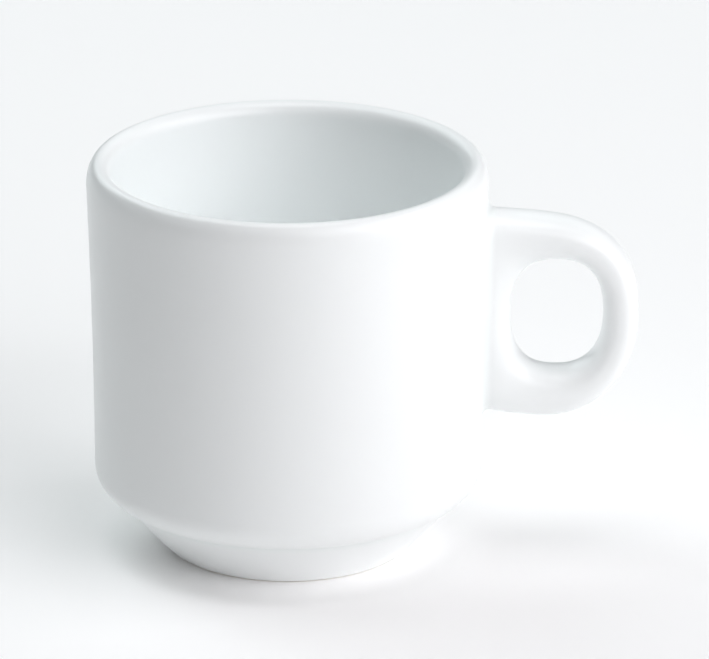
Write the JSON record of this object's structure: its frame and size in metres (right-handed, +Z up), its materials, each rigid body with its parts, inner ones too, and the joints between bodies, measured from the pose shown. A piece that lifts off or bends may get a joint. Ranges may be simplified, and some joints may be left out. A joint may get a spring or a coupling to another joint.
{
  "type": "mocha cup",
  "caption": "Small stacking porcelain cup: near-upright round body with a rounded lip and shoulder, a tapered stacking foot with a recessed base, and a ring handle with an oval finger hole.",
  "frame": {"origin": "bottom centre of the box round cup and handle, on the plane that the foot stands on; the cup's own axis is upright at x = -11.6 mm", "axes": "+X from the cup towards the handle, +Z up along the cup's axis, +Y across the handle"},
  "size_m": [0.085, 0.0618, 0.0621],
  "materials": {
    "glazed_body": "white feldspathic porcelain under a clear, even, glossy glaze; the standing ring of the foot is left bare",
    "porcelain_slip": "fired porcelain slip, sponged smooth and covered by the same glaze where it shows",
    "glazed_handle": "cast white porcelain under the same clear glossy glaze"
  },
  "bodies": {
    "root": {"cup_body": "glazed_body", "luting_slip": "porcelain_slip", "handle": "glazed_handle"}
  },
  "joints": []
}
